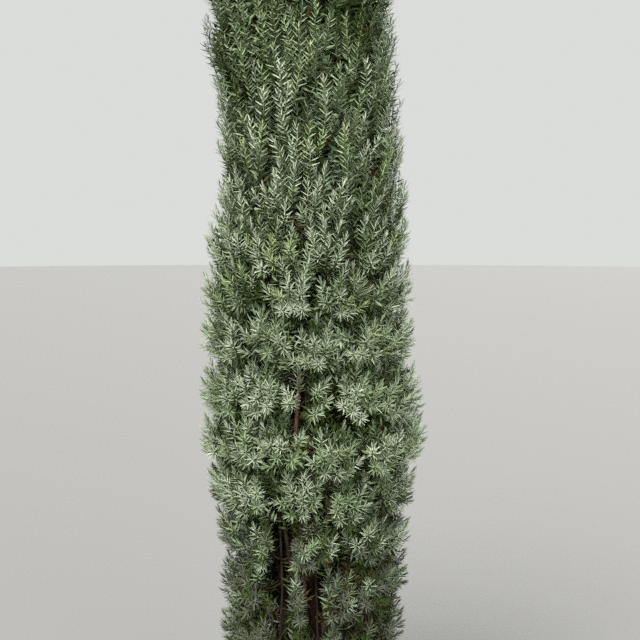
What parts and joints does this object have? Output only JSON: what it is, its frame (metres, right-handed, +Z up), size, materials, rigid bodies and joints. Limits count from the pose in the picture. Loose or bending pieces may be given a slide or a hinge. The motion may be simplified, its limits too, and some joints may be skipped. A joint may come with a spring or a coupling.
{
  "type": "columnar yew",
  "caption": "Tall, narrow evergreen yew: a flared trunk, steep boughs and a tight column of blue-green needled shoots, rooted at a flat cut.",
  "frame": {"origin": "centre of the flat cut under the trunk, at ground level", "axes": "+Z up along the trunk, -Y towards the pictured front, +X to the right of it"},
  "size_m": [0.607, 0.6159, 3.1],
  "materials": {
    "bark": "reddish-brown, finely flaking bark, matt",
    "needles": "short, flat, blue-green needles in dense radiating shoots, satin, with deep shade between them"
  },
  "bodies": {
    "root": {"trunk": "bark", "bough_01": "bark", "bough_02": "bark", "bough_03": "bark", "bough_04": "bark", "bough_05": "bark", "bough_06": "bark", "bough_07": "bark", "bough_08": "bark", "bough_09": "bark", "bough_10": "bark", "bough_11": "bark", "bough_12": "bark", "bough_13": "bark", "bough_14": "bark", "bough_15": "bark", "bough_16": "bark", "bough_17": "bark", "bough_18": "bark", "bough_19": "bark", "bough_20": "bark", "bough_21": "bark", "bough_22": "bark", "bough_23": "bark", "bough_24": "bark", "bough_25": "bark", "bough_26": "bark", "bough_27": "bark", "bough_28": "bark", "mass_01": "needles", "mass_02": "needles", "mass_03": "needles", "mass_04": "needles", "mass_05": "needles", "mass_06": "needles", "mass_07": "needles", "mass_08": "needles", "mass_09": "needles", "mass_10": "needles", "mass_11": "needles", "mass_12": "needles", "mass_13": "needles", "mass_14": "needles", "mass_15": "needles", "mass_16": "needles", "mass_17": "needles", "mass_18": "needles", "mass_19": "needles", "mass_20": "needles", "mass_21": "needles", "mass_22": "needles", "mass_23": "needles", "mass_24": "needles", "mass_25": "needles", "mass_26": "needles", "mass_27": "needles", "mass_28": "needles", "mass_29": "needles"}
  },
  "joints": []
}
